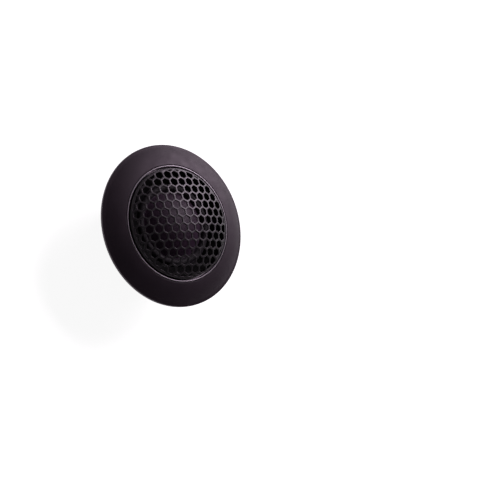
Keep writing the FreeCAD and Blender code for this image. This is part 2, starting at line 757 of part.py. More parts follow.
def make_capacitor_leads():
    """Bent wires from the capacitor to the positive strip and to the positive blade's foot."""
    beside_strip = STRIP_WIDTH / 2 + CAPACITOR_LEAD_R
    strip_z = (STRIP_BOTTOM + STRIP_FOOT_TOP) / 2
    to_strip = [
        V(CAPACITOR_HALF_LENGTH, CAPACITOR_Y, CAPACITOR_Z),
        V(LEAD_BEND_X, CAPACITOR_Y, CAPACITOR_Z),
        V(POSITIVE_FOOT_X + STRIP_THICK, beside_strip + BLADE_THICK, strip_z),
        V(POSITIVE_FOOT_X + STRIP_THICK, beside_strip - CAPACITOR_LEAD_R, strip_z),
    ]
    to_blade = [
        V(-CAPACITOR_HALF_LENGTH, CAPACITOR_Y, CAPACITOR_Z),
        V(-LEAD_BEND_X, CAPACITOR_Y, CAPACITOR_Z),
        V(-LEAD_BEND_X, CAPACITOR_Y - CAPACITOR_R, LEAD_HIGH_Z),
        V(BLADE_X, BLADE_FOOT_END_Y + BLADE_THICK, LEAD_HIGH_Z),
        V(BLADE_X, BLADE_FOOT_END_Y, LEAD_HIGH_Z),
    ]
    return Part.makeCompound([bent_wire(path, CAPACITOR_LEAD_R) for path in (to_strip, to_blade)])


def make_chamber_foam():
    """Foam block in the rear chamber, on the side away from the capacitor."""
    disc = tube(0.0, FOAM_R, FOAM_BOTTOM, FOAM_TOP)
    return disc.common(block((-FOAM_R, FOAM_R), (-FOAM_R - PAST, FOAM_NEAR_Y), (FOAM_BOTTOM, FOAM_TOP)))


MAKERS = {
    "bezel": make_bezel,
    "trim_ring": make_trim_ring,
    "grille_mesh": make_grille_mesh,
    "panel_gasket": make_panel_gasket,
    "clamp_washer": make_clamp_washer,
    "lock_nut": make_lock_nut,
    "pod_housing": make_pod_housing,
    "faceplate": make_faceplate,
    "faceplate_screws": make_faceplate_screws,
    "dome": make_dome,
    "surround": make_surround,
    "diaphragm_ring": make_diaphragm_ring,
    "coil_former": make_coil_former,
    "voice_coil": make_voice_coil,
    "coil_leads": make_coil_leads,
    "damping_pad": make_damping_pad,
    "pole_plate": make_pole_plate,
    "magnet": make_magnet,
    "yoke_pot": make_yoke_pot,
    "positive_strip": make_positive_strip,
    "negative_strip": make_negative_strip,
    "capacitor": make_capacitor,
    "capacitor_leads": make_capacitor_leads,
    "rear_cap": make_rear_cap,
    "chamber_foam": make_chamber_foam,
    "terminal_board": make_terminal_board,
    "positive_blade": make_positive_blade,
    "negative_blade": make_negative_blade,
    "blade_rivets": make_blade_rivets,
}

os.makedirs("parts", exist_ok=True)
for node, maker in MAKERS.items():
    shape = maker()
    if not shape.isValid():
        raise ValueError(f"{node} is not a valid shape")
    print(f"{node}: {len(shape.Solids)} solid(s), {shape.Volume:.1f} mm3")
    shape.exportStep(f"parts/{node}.step")
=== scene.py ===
"""Looks of the car tweeter: detailed meshes, materials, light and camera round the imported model.

Sizes in this file are millimetres and are turned into metres where a mesh or a light is made.
"""

import bmesh
import bpy
import json
import math
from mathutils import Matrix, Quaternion, Vector
from mathutils.geometry import delaunay_2d_cdt


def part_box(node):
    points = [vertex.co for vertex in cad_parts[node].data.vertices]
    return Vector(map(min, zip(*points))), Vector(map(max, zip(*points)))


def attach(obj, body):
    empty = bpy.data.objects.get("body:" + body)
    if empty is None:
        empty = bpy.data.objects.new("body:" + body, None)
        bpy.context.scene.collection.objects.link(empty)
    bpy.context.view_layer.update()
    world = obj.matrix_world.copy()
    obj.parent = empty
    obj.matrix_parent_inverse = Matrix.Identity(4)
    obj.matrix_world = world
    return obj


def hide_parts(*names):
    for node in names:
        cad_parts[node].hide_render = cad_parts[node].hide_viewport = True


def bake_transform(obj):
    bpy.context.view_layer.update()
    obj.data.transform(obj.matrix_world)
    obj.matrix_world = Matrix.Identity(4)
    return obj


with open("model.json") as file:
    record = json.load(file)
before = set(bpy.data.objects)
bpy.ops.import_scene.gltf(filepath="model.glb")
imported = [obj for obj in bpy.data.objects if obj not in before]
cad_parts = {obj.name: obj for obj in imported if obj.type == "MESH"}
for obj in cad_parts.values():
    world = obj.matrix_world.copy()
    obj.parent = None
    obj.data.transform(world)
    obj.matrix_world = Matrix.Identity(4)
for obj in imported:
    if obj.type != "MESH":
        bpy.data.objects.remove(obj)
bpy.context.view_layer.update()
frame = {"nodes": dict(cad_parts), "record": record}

MM = 0.001
TAU = 2 * math.pi


def reach(node):
    """Largest X of a CAD node, which is the outer radius of a round one."""
    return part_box(node)[1].x / MM


def low(node):
    """Lowest Z of a CAD node."""
    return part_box(node)[0].z / MM


def high(node):
    """Highest Z of a CAD node."""
    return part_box(node)[1].z / MM


# --- driving sizes, from the frame where it has them ---
FLANGE_R = reach("bezel")
COLLAR_END = low("bezel")
PILOT_R = 19.5
PILOT_END = -1.6
BORE_R = 17.25
SEAT_Z = 1.4
LIP_R = 18.15
LIP_TOP = 3.85
LIP_WIDTH = 0.16
EDGE_TOP = 0.95
EDGE_INSET = 0.35  # how far in from the edge the convex front starts
CROWN = 0.32  # how far the front bulges above a straight slope
GASKET_INNER_R = 20.2
GASKET_OUTER_R = 23.2
GASKET_THICK = high("panel_gasket")
GASKET_GAP = 0.02  # clearance of the foam to the sides of its groove

PITCH = 2.0
ROOT_R = 18.7
THREAD_TOP = -1.9
THREAD_BOTTOM = -6.8
THREAD_ROOT_WIDTH = 1.2
THREAD_CREST_WIDTH = 0.45
THREAD_CLEARANCE = 0.15
RUN_OUT = 0.35
SKIN_GAP = 0.01  # hair's breadth that keeps two faces from sharing a plane

NUT_TOP = high("lock_nut")
NUT_BOTTOM = low("lock_nut")
NUT_R = 21.9
NUT_MINOR_R = 18.9
NUT_BORE_R = 20.35
NUT_BORE_END = -1.75
NUT_NOTCHES = 18
NOTCH_R = 1.25
NOTCH_CENTRE_R = 22.55

MESH_R = reach("grille_mesh")
MESH_APEX = 8.62
MESH_SPHERE_R = 37.1
MESH_THICK = 0.35
MESH_SHOULDER = 0.3
MESH_CORNER = 0.28  # rounding in the corners of a hole
MESH_SOFT = 0.08  # how far the punched edges are eased
MESH_FOOT = low("grille_mesh")
HOLE_PITCH = 2.8
STRAND = 0.58
HOLE_SHIFT = (0.45, 0.245)
BORDER_R = 16.6
LEAST_CUT = 0.45  # least depth of a hole that the border cuts short

CAP_R = reach("rear_cap")
CAP_TOP = high("rear_cap")
CAP_TAPER = -11.0
CAP_REAR = low("rear_cap")
CAP_REAR_R = 12.7
CAP_WALL = 1.2
WELL_HALF = (8.0, 5.5)
WELL_CORNER = 1.0
BOARD_BACK = -9.7

POD_R = 17.15
POD_FLANGE_R = 18.0
POD_FLANGE_TOP = high("pod_housing")
HOOKS = 4
HOOK_HALF_ARC = math.radians(12)
HOOK_BARB = 0.75
HOOK_LENGTH = 1.6
HOOK_EASE = 0.2

BLADE_X = 4.0
BLADE_WIDTHS = {"positive_blade": 4.8, "negative_blade": 2.8}
BLADE_THICK = 0.8
BLADE_TIP = low("positive_blade")
BLADE_BEND_Z = -8.8
BLADE_BEND_R = 0.7
BLADE_FOOT_END = 4.2
BLADE_HOLE = 2.4  # distance of the latch hole from the tip
BLADE_HOLE_R = 0.7
BLADE_CHAMFER = 0.7
BLADE_SOFT = 0.13
RIVET_Y = 2.4
RIVET_TAIL = low("blade_rivets")
RIVET_TOP = high("blade_rivets")

FINE = 256  # columns round a visible ring
ARC_STEPS = 5


# --- mesh building ---


def softened(corners, arc_steps=ARC_STEPS):
    """Closed section with rounded corners.

    corners lists (radius, height) or (radius, height, rounding). Returns (radius, height, wear) points,
    where wear is 1 at the middle of an outward corner, because that is where a surface rubs.
    """
    count = len(corners)
    area = sum(
        corners[i - 1][0] * corners[i][1] - corners[i][0] * corners[i - 1][1] for i in range(count)
    )
    points = []
    for index, corner in enumerate(corners):
        here = Vector(corner[:2])
        rounding = corner[2] if len(corner) > 2 else 0.0
        before = Vector(corners[index - 1][:2]) - here
        after = Vector(corners[(index + 1) % count][:2]) - here
        half = before.angle(after) / 2
        if rounding == 0.0 or half > math.radians(88):
            points.append((here.x, here.y, 0.0))
            continue
        back_off = min(rounding / math.tan(half), 0.48 * before.length, 0.48 * after.length)
        radius = back_off * math.tan(half)
        centre = here + (before.normalized() + after.normalized()).normalized() * radius / math.sin(half)
        first = here + before.normalized() * back_off - centre
        last = here + after.normalized() * back_off - centre
        turn = (last.x * first.y - last.y * first.x) / (first.length * last.length)
        sweep = first.angle(last) * (-1 if turn > 0 else 1)
        outward = 1.0 if (before.x * after.y - before.y * after.x) * area < 0 else 0.0
        for step in range(arc_steps + 1):
            angle = math.atan2(first.y, first.x) + sweep * step / arc_steps
            rub = outward * math.sin(math.pi * step / arc_steps)
            points.append((centre.x + radius * math.cos(angle), centre.y + radius * math.sin(angle), rub))
    return points


def arc_between(start, middle, end, steps):
    """Points along the circle through three points, without its two ends."""
    a, b, c = Vector(start), Vector(middle), Vector(end)
    d = 2 * (a.x * (b.y - c.y) + b.x * (c.y - a.y) + c.x * (a.y - b.y))
    sa, sb, sc = a.length_squared, b.length_squared, c.length_squared
    centre = Vector(
        (
            (sa * (b.y - c.y) + sb * (c.y - a.y) + sc * (a.y - b.y)) / d,
            (sa * (c.x - b.x) + sb * (a.x - c.x) + sc * (b.x - a.x)) / d,
        )
    )
    radius = (a - centre).length
    first = math.atan2(a.y - centre.y, a.x - centre.x)
    last = math.atan2(c.y - centre.y, c.x - centre.x)
    sweep = (last - first + math.pi) % TAU - math.pi
    turns = [first + sweep * i / steps for i in range(1, steps)]
    return [(centre.x + radius * math.cos(turn), centre.y + radius * math.sin(turn)) for turn in turns]


def even_turns(columns):
    """Angles of evenly spaced columns, with the first one repeated at the end."""
    return [TAU * i / columns for i in range(columns + 1)]


def build(name, vertices, faces, wear=None, sharp_deg=35.0):
    """Mesh object from points in millimetres, welded, with smooth faces and sharp creases."""
    data = bpy.data.meshes.new(name)
    data.from_pydata([Vector(v) * MM for v in vertices], [], faces)
    if wear:
        data.attributes.new("wear", "FLOAT", "POINT").data.foreach_set("value", wear)
    work = bmesh.new()
    work.from_mesh(data)
    bmesh.ops.remove_doubles(work, verts=work.verts, dist=1e-4 * MM)
    bmesh.ops.dissolve_degenerate(work, edges=work.edges, dist=1e-5 * MM)
    bmesh.ops.recalc_face_normals(work, faces=work.faces)
    work.to_mesh(data)
    work.free()
    data.shade_smooth()
    data.set_sharp_from_angle(angle=math.radians(sharp_deg))
    piece = bpy.data.objects.new(name, data)
    bpy.context.scene.collection.objects.link(piece)
    return piece


def spun(name, section, angles=None, centres=((0.0, 0.0),)):
    """Closed ring about an upright axis at each centre.

    section is a list of (radius, height, wear) points, or a function that gives the list for an angle.
    """
    angles = angles or even_turns(FINE)
    vertices, wear, faces = [], [], []
    for centre_x, centre_y in centres:
        start = len(vertices)
        for angle in angles:
            column = section(angle) if callable(section) else section
            cosine, sine = math.cos(angle), math.sin(angle)
            vertices += [(centre_x + r * cosine, centre_y + r * sine, height) for r, height, _ in column]
            wear += [rub for _, _, rub in column]
        count = len(column)
        for turn in range(len(angles) - 1):
            here, there = start + turn * count, start + (turn + 1) * count
            for i in range(count):
                j = (i + 1) % count
                faces.append((here + i, there + i, there + j, here + j))
    return build(name, vertices, faces, wear)


def finished(piece, slot, node, body=None):
    """Gives a piece its finish, its body and the CAD node it stands for. A blended piece has no body."""
    piece.data.materials.clear()
    piece.data.materials.append(MATERIALS[slot])
    if body:
        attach(piece, body)
    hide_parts(node)
    return piece


# --- materials ---


class Surface:
    """Principled material with helpers for procedural detail. Feature sizes are in millimetres."""

    def __init__(self, name, roughness=0.5, metallic=0.0, **sockets):
        self.material = bpy.data.materials.new(name)
        self.material.use_nodes = True
        self.nodes = self.material.node_tree.nodes
        self.links = self.material.node_tree.links
        self.shader = self.nodes["Principled BSDF"]
        self.shader.inputs["Roughness"].default_value = roughness
        self.shader.inputs["Metallic"].default_value = metallic
        for socket, value in sockets.items():
            self.shader.inputs[socket.replace("_", " ")].default_value = value
        self.place = self.nodes.new("ShaderNodeTexCoord").outputs["Object"]
        self.relief = None

    def node(self, kind, inputs=(), **settings):
        """New node with its settings and inputs; an input is a value or another node's output."""
        made = self.nodes.new(kind)
        for setting, value in settings.items():
            setattr(made, setting, value)
        for socket, value in dict(inputs).items():
            if isinstance(value, bpy.types.NodeSocket):
                self.links.new(value, made.inputs[socket])
            else:
                made.inputs[socket].default_value = value
        return made

    def math(self, operation, *values):
        return self.node("ShaderNodeMath", dict(enumerate(values)), operation=operation).outputs[0]

    def stretched(self, x, y, z):
        """Object position with each axis scaled."""
        return self.node(
            "ShaderNodeVectorMath", {0: self.place, 1: (x, y, z)}, operation="MULTIPLY"
        ).outputs[0]

    def polar(self, radial, angular, upright):
        """Position as radius, angle about Z and height, each scaled, for brushing and turning marks."""
        split = self.node("ShaderNodeSeparateXYZ", {0: self.place})
        x, y, z = split.outputs
        squared = self.math("ADD", self.math("MULTIPLY", x, x), self.math("MULTIPLY", y, y))
        radius = self.math("SQRT", squared)
        angle = self.math("ARCTAN2", y, x)
        parts = {
            0: self.math("MULTIPLY", radius, radial),
            1: self.math("MULTIPLY", angle, angular),
            2: self.math("MULTIPLY", z, upright),
        }
        return self.node("ShaderNodeCombineXYZ", parts).outputs[0]

    def noise(self, size, detail, where=None):
        """Noise whose blotches are about this many millimetres across."""
        inputs = {"Vector": where or self.place, "Scale": 1 / (size * MM), "Detail": detail}
        return self.node("ShaderNodeTexNoise", inputs).outputs[0]

    def cells(self, size):
        """Distance field of random cells about this many millimetres across."""
        inputs = {"Vector": self.place, "Scale": 1 / (size * MM)}
        return self.node("ShaderNodeTexVoronoi", inputs).outputs["Distance"]

    def between(self, value, from_low, from_high, to_low, to_high):
        """Value moved from one range to another and kept inside it."""
        inputs = {0: value, 1: from_low, 2: from_high, 3: to_low, 4: to_high}
        return self.node("ShaderNodeMapRange", inputs).outputs[0]

    def mixed(self, share, first, second):
        """Colour between two colours."""
        made = self.node("ShaderNodeMix", data_type="RGBA")
        for socket, value in ((made.inputs[0], share), (made.inputs[6], first), (made.inputs[7], second)):
            if isinstance(value, bpy.types.NodeSocket):
                self.links.new(value, socket)
            else:
                socket.default_value = value if isinstance(value, float) else (*value, 1.0)
        return made.outputs[2]

    def worn(self, amount):
        """How rubbed the surface is: the wear marked on the mesh, broken up by noise."""
        mark = self.node("ShaderNodeAttribute", attribute_name="wear").outputs["Fac"]
        return self.math("MULTIPLY", mark, self.between(self.noise(0.9, 4.0), 0.42, 0.62, 0.0, amount))

    def bump(self, height, depth, strength):
        """Adds relief of this many millimetres, on top of any before it."""
        inputs = {"Height": height, "Distance": depth * MM, "Strength": strength}
        if self.relief is not None:
            inputs["Normal"] = self.relief
        self.relief = self.node("ShaderNodeBump", inputs).outputs[0]

    def done(self, colour=None, roughness=None):
        """Wires colour, roughness and relief to the shader and gives the material."""
        for socket, value in (("Base Color", colour), ("Roughness", roughness), ("Normal", self.relief)):
            if isinstance(value, bpy.types.NodeSocket):
                self.links.new(value, self.shader.inputs[socket])
        return self.material


def soft_touch():
    """Flange paint: matte with a faint purple cast, fine grain, handling marks and paler rubbed edges."""
    s = Surface("soft_touch_paint", Specular_IOR_Level=0.5, Sheen_Weight=0.03, Sheen_Roughness=0.45)
    s.shader.inputs["Sheen Tint"].default_value = (0.80, 0.66, 0.80, 1.0)
    s.shader.inputs["Specular Tint"].default_value = (1.0, 0.87, 0.98, 1.0)
    blotch = s.between(s.noise(7.0, 3.0), 0.3, 0.7, 0.0, 1.0)
    colour = s.mixed(blotch, (0.017, 0.0095, 0.0165), (0.022, 0.0125, 0.0210))
    colour = s.mixed(s.worn(0.3), colour, (0.050, 0.038, 0.048))
    s.bump(s.noise(0.11, 3.0), 0.012, 0.55)
    s.bump(s.noise(0.55, 2.0), 0.010, 0.25)
    smudge = s.between(s.noise(3.2, 5.0), 0.35, 0.70, 0.50, 0.60)
    return s.done(colour, smudge)


def satin_ring():
    """Trim ring: satin metal turned on a lathe, with fine marks along its length."""
    s = Surface("satin_ring_metal", metallic=0.9)
    marks = s.noise(1.0, 3.0, s.polar(1 / 0.035, 6.0, 1 / 0.035))
    colour = s.mixed(marks, (0.205, 0.185, 0.205), (0.30, 0.27, 0.30))
    colour = s.mixed(s.worn(0.3), colour, (0.38, 0.35, 0.38))
    s.bump(marks, 0.004, 0.5)
    return s.done(colour, s.between(marks, 0.3, 0.7, 0.30, 0.42))


def powder_coat():
    """Mesh: thin satin powder coat with a slight orange peel, dulled in patches by dust."""
    s = Surface("mesh_powder_coat", Specular_IOR_Level=0.6, Coat_Weight=0.12, Coat_Roughness=0.3)
    s.shader.inputs["Specular Tint"].default_value = (1.0, 0.93, 1.0, 1.0)
    dust = s.between(s.noise(2.4, 4.0), 0.45, 0.75, 0.0, 0.35)
    colour = s.mixed(dust, (0.016, 0.013, 0.016), (0.034, 0.030, 0.034))
    colour = s.mixed(s.worn(0.3), colour, (0.08, 0.072, 0.08))
    s.bump(s.noise(0.16, 2.0), 0.010, 0.5)
    return s.done(colour, s.between(s.noise(0.6, 3.0), 0.3, 0.7, 0.34, 0.46))


def moulded(name, colour, grain=0.14, roughness=(0.46, 0.60), depth=0.012, gloss=0.45):
    """Moulded plastic with the fine eroded grain of its mould, flow marks and rubbed edges."""
    s = Surface(name, Specular_IOR_Level=gloss)
    lighter = tuple(c * 1.12 + 0.0006 for c in colour)
    tint = s.mixed(s.between(s.noise(9.0, 1.0), 0.3, 0.7, 0.0, 1.0), colour, lighter)
    rubbed = tuple(min(1.0, c * 2.2 + 0.02) for c in colour)
    tint = s.mixed(s.worn(0.4), tint, rubbed)
    s.bump(s.noise(grain, 3.0), depth, 0.7)
    s.bump(s.cells(grain * 1.6), depth, 0.2)
    return s.done(tint, s.between(s.noise(grain * 1.5, 2.0), 0.35, 0.65, *roughness))


def turned_metal(name, dark, bright, roughness=(0.25, 0.40)):
    """Bare or plated metal with lathe marks round the axis and faint staining."""
    s = Surface(name, metallic=1.0)
    mark = 0.05
    marks = s.noise(1.0, 3.0, s.polar(1 / mark, 4.0, 1 / mark))
    stain = s.between(s.noise(2.5, 4.0), 0.35, 0.7, 0.0, 1.0)
    colour = s.mixed(stain, dark, bright)
    s.bump(marks, 0.004, 0.5)
    return s.done(colour, s.between(marks, 0.3, 0.7, *roughness))


def stamped_metal(name, dark, bright):
    """Rolled and stamped strip with straight rolling marks and blotchy tarnish."""
    s = Surface(name, metallic=1.0)
    marks = s.noise(1.0, 3.0, s.stretched(1 / (0.04 * MM), 1 / (0.04 * MM), 1 / (1.5 * MM)))
    tarnish = s.between(s.noise(1.2, 5.0), 0.38, 0.68, 0.0, 1.0)
    s.bump(marks, 0.003, 0.5)
    return s.done(s.mixed(tarnish, bright, dark), s.between(marks, 0.3, 0.7, 0.28, 0.42))


def woven(name, dark, bright, thread, roughness, sheen, coat):
    """Plain-woven cloth under a thin damping coat: threads cross over and under along X and Y. The dips
    between threads are painted darker as shade, and slub noise adds random tone.
    """
    s = Surface(name, Sheen_Weight=sheen, Sheen_Roughness=0.4, Coat_Weight=coat, Coat_Roughness=0.35)
    s.shader.inputs["Sheen Tint"].default_value = (0.75, 0.62, 0.85, 1.0)
    x, y, _ = s.node("ShaderNodeSeparateXYZ", {0: s.place}).outputs
    beat = math.pi / (thread * MM)
    warp = s.math("SINE", s.math("MULTIPLY", x, beat))
    weft = s.math("SINE", s.math("MULTIPLY", y, beat))
    over = s.math("MULTIPLY", warp, weft)
    ribs = s.math("ADD", s.math("ABSOLUTE", warp), s.math("ABSOLUTE", weft))
    height = s.math("ADD", s.math("MULTIPLY", over, 0.5), s.math("MULTIPLY", ribs, 0.5))
    slub = s.noise(0.7, 4.0)
    # painted shade: the colour follows the weave height, darker in the dips between threads; the slub adds
    # random tone
    thread_shade_and_slub = s.between(s.math("ADD", height, s.math("MULTIPLY", slub, 0.8)), 0.1, 1.5, 0.0, 1.0)
    s.bump(height, 0.03, 0.6)
    s.bump(slub, 0.02, 0.3)
    return s.done(s.mixed(thread_shade_and_slub, dark, bright), s.between(slub, 0.3, 0.7, *roughness))


def foam(name, dark, bright):
    """Cut foam: open pores of mixed size, painted darker inside as shade."""
    s = Surface(name, roughness=0.9, Sheen_Weight=0.25, Sheen_Roughness=0.6)
    pores = s.math("MULTIPLY", s.cells(0.38), s.between(s.cells(0.17), 0.0, 0.6, 0.5, 1.0))
    s.bump(pores, 0.12, 0.8)
    # painted shade: the colour is darker where the pores sink in
    return s.done(s.mixed(s.between(pores, 0.05, 0.45, 0.0, 1.0), dark, bright))


def felt():
    """Pressed wool felt: tangled fibres, painted darker in the gaps between them as shade."""
    s = Surface("wool_felt", roughness=0.95, Sheen_Weight=0.4, Sheen_Roughness=0.5)
    fibres = s.noise(0.12, 6.0, s.stretched(1.0, 0.35, 1.0))
    crossing = s.noise(0.12, 6.0, s.stretched(0.35, 1.0, 1.0))
    tangle = s.math("MAXIMUM", fibres, crossing)
    s.bump(tangle, 0.10, 0.7)
    # painted shade: the colour follows the fibre height, darker in the gaps between fibres
    share = s.between(tangle, 0.4, 0.75, 0.0, 1.0)
    return s.done(s.mixed(share, (0.10, 0.095, 0.09), (0.26, 0.25, 0.24)))


def winding():
    """Enamelled copper wire wound in close turns, painted darker in the grooves between turns as shade."""
    s = Surface("enamelled_winding", metallic=0.85, Coat_Weight=0.6, Coat_Roughness=0.15)
    height = s.node("ShaderNodeSeparateXYZ", {0: s.place}).outputs[2]
    turns = s.math("ABSOLUTE", s.math("SINE", s.math("MULTIPLY", height, math.pi / (0.12 * MM))))
    s.bump(turns, 0.05, 0.9)
    # painted shade: the colour goes dark in the grooves between the turns of wire and copper-bright on their
    # crests
    colour = s.mixed(turns, (0.20, 0.06, 0.02), (0.72, 0.32, 0.13))
    return s.done(colour, s.between(turns, 0, 1, 0.45, 0.28))


def laminate():
    """Phenolic board: brown resin over paper fibres, with a slight gloss."""
    s = Surface("phenolic_laminate", Specular_IOR_Level=0.5)
    fibres = s.noise(0.16, 4.0, s.stretched(0.45, 1.0, 1.0))
    s.bump(fibres, 0.006, 0.4)
    colour = s.mixed(s.between(fibres, 0.35, 0.7, 0.0, 1.0), (0.115, 0.052, 0.017), (0.155, 0.074, 0.026))
    return s.done(colour, s.between(fibres, 0.3, 0.7, 0.32, 0.5))


def ink():
    """Screen-printed legend: off-white, slightly worn through."""
    s = Surface("printed_legend", roughness=0.6)
    holes = s.between(s.noise(0.12, 3.0), 0.30, 0.42, 0.0, 1.0)
    s.bump(holes, 0.004, 0.5)
    return s.done(s.mixed(holes, (0.30, 0.24, 0.16), (0.72, 0.71, 0.66)))


def sleeve():
    """Shrink sleeve on the capacitor: glossy dark blue with faint wrinkles, painted darker in their hollows
    as shade.
    """
    s = Surface("shrink_sleeve", Coat_Weight=0.3, Coat_Roughness=0.2)
    wrinkles = s.noise(0.8, 3.0, s.stretched(0.3, 1.0, 1.0))
    s.bump(wrinkles, 0.03, 0.4)
    # painted shade: the colour follows the wrinkle relief, darker in its hollows
    colour = s.mixed(wrinkles, (0.012, 0.02, 0.07), (0.02, 0.035, 0.12))
    return s.done(colour, s.between(wrinkles, 0, 1, 0.25, 0.4))


MATERIALS = {
    "bezel_plastic": soft_touch(),
    "ring_metal": satin_ring(),
    "mesh_steel": powder_coat(),
    "foam": foam("gasket_foam", (0.006, 0.006, 0.0065), (0.035, 0.035, 0.037)),
    "washer_steel": turned_metal("zinc_plate", (0.42, 0.42, 0.41), (0.62, 0.63, 0.65)),
    "nut_plastic": moulded("nut_nylon", (0.016, 0.016, 0.017), 0.18),
    "pod_plastic": moulded("pod_plastic", (0.013, 0.013, 0.014), 0.13),
    "faceplate_plastic": moulded(
        "faceplate_plastic", (0.004, 0.0038, 0.0042), 0.10, roughness=(0.62, 0.75), depth=0.02, gloss=0.08
    ),
    "dome_fabric": woven(
        "coated_silk", (0.026, 0.008, 0.026), (0.060, 0.022, 0.058), 0.20, (0.5, 0.62), sheen=0.2, coat=0.08
    ),
    "surround_fabric": woven(
        "surround_cloth", (0.007, 0.004, 0.008), (0.015, 0.009, 0.016), 0.24, (0.6, 0.75), sheen=0.08, coat=0
    ),
    "inner_plastic": moulded("inner_plastic", (0.05, 0.05, 0.05), 0.15),
    "former_aluminium": turned_metal("former_foil", (0.60, 0.60, 0.62), (0.80, 0.80, 0.82), (0.18, 0.3)),
    "coil_wire": winding(),
    "felt": felt(),
    "motor_steel": turned_metal("black_zinc_steel", (0.12, 0.12, 0.125), (0.24, 0.24, 0.25), (0.3, 0.45)),
    "magnet_nickel": turned_metal("nickel_plate", (0.52, 0.50, 0.46), (0.70, 0.68, 0.64), (0.16, 0.28)),
    "terminal_brass": stamped_metal("tinned_brass", (0.42, 0.34, 0.20), (0.74, 0.66, 0.48)),
    "screw_steel": turned_metal("screw_zinc", (0.10, 0.10, 0.11), (0.26, 0.26, 0.28)),
    "capacitor_film": sleeve(),
    "lead_copper": stamped_metal("tinned_copper", (0.46, 0.40, 0.34), (0.76, 0.73, 0.70)),
    "board_laminate": laminate(),
    "marking_ink": ink(),
}


# --- pieces ---


def ridge_share(offset, half_root, half_crest):
    """Height of the thread ridge, from 0 to 1, at a distance from its middle."""
    return min(1.0, max(0.0, (half_root - abs(offset)) / (half_root - half_crest)))


def thread_rows(angle, bottom, top, half_root, half_crest):
    """(height, ridge share) rows up a helical thread at one angle.

    The rows keep to the ridge's own corners as the helix climbs, so its edges stay clean. They are held
    at the two ends, where the ridge also runs out to nothing.
    """
    soften = (half_root - half_crest) * 0.2
    offsets = (
        -half_root,
        -half_crest - soften,
        -half_crest + soften,
        half_crest - soften,
        half_crest + soften,
        half_root,
    )
    rows = [(bottom, 0.0)]
    first_turn = math.floor(bottom / PITCH) - 2
    for turn in range(first_turn, math.ceil(top / PITCH) + 1):
        middle = PITCH * (turn + angle / TAU)
        for offset in offsets:
            height = min(max(middle + offset, bottom), top)
            fade = min(1.0, (height - bottom) / RUN_OUT, (top - height) / RUN_OUT)
            rows.append((height, ridge_share(offset, half_root, half_crest) * fade))
    rows.append((top, 0.0))
    return rows


def flange_front():
    """Points of the convex front, from the edge to the lip."""
    edge = (FLANGE_R - EDGE_INSET, EDGE_TOP)
    lip = (LIP_R + LIP_WIDTH, LIP_TOP)
    middle = ((edge[0] + lip[0]) / 2, (edge[1] + lip[1]) / 2 + CROWN)
    return [edge, *arc_between(edge, middle, lip, 14), lip]


def bezel_section(angle):
    """Section of flange and threaded collar at one angle."""
    half_root = THREAD_ROOT_WIDTH / 2
    half_crest = THREAD_CREST_WIDTH / 2
    thread = [
        (ROOT_R + (PILOT_R - ROOT_R) * share, height, 1.0 if share > 0.8 else 0.0)
        for height, share in thread_rows(angle, THREAD_BOTTOM, THREAD_TOP, half_root, half_crest)
    ]
    collar = [(BORE_R, 0.0), (BORE_R, COLLAR_END, 0.15), (ROOT_R, COLLAR_END, 0.3), (ROOT_R, 0.0)]
    collar_edge = softened(collar)[1:-1]
    pilot = softened(
        [
            (ROOT_R, THREAD_TOP),
            (ROOT_R, PILOT_END, 0.06),
            (PILOT_R, PILOT_END, 0.12),
            (PILOT_R, 0.0, 0.08),
            (GASKET_INNER_R, 0.0, 0.06),
            (GASKET_INNER_R, GASKET_THICK),
            (GASKET_OUTER_R, GASKET_THICK),
            (GASKET_OUTER_R, 0.0, 0.06),
            (FLANGE_R, 0.0, 0.28),
            (FLANGE_R, EDGE_TOP, 0.33),
            (FLANGE_R - 2.0, EDGE_TOP + 1.1),
        ]
    )[1:-1]
    front = [(r, z, 0.0) for r, z in flange_front()[1:]]
    # the front's last stretch comes first, so that the lip's rounding starts in line with it
    slope = [(LIP_R + 1.0, LIP_TOP - 0.27), (LIP_R, LIP_TOP + 0.03, 0.11)]
    lip = softened([*slope, (LIP_R, SEAT_Z, 0.05), (BORE_R, SEAT_Z, 0.1), (BORE_R, 0.0)])[1:-1]
    return collar_edge + thread + pilot + front + lip


def make_bezel():
    finished(spun("bezel_shell", bezel_section), "bezel_plastic", "bezel", "tweeter_body")


def make_trim_ring():
    """Rounded ring with a thicker foot, which comes close to the skirt of the mesh."""
    foot_r, foot_top, inner_r = 17.08, 2.35, 17.45
    outer_r, top = reach("trim_ring"), high("trim_ring")
    section = softened(
        [
            (foot_r, MESH_FOOT, 0.05),
            (outer_r, MESH_FOOT, 0.05),
            (outer_r, top, 0.28),
            (inner_r, top, 0.28),
            (inner_r, foot_top, 0.08),
            (foot_r, foot_top, 0.05),
        ],
        8,
    )
    finished(spun("satin_trim_ring", section), "ring_metal", "trim_ring", "tweeter_body")


def on_mesh_sphere(x, y, depth):
    """Point at a depth under the mesh's outer sphere, below plan position x, y."""
    z = math.sqrt(MESH_SPHERE_R**2 - x * x - y * y)
    shrink = 1 - depth / MESH_SPHERE_R
    return (x * shrink, y * shrink, MESH_APEX - MESH_SPHERE_R + z * shrink)


def rounded_hexagon(x, y, half_flats, corner):
    """Outline of a hole, anticlockwise, with its corners rounded."""
    steps = 3
    outline = []
    reach_r = (half_flats - corner) / math.cos(math.pi / 6)
    for side in range(6):
        turn = math.pi / 2 + side * math.pi / 3
        cx, cy = x + reach_r * math.cos(turn), y + reach_r * math.sin(turn)
        for step in range(steps + 1):
            angle = turn - math.pi / 6 + math.pi / 3 * step / steps
            outline.append((cx + corner * math.cos(angle), cy + corner * math.sin(angle)))
    return outline


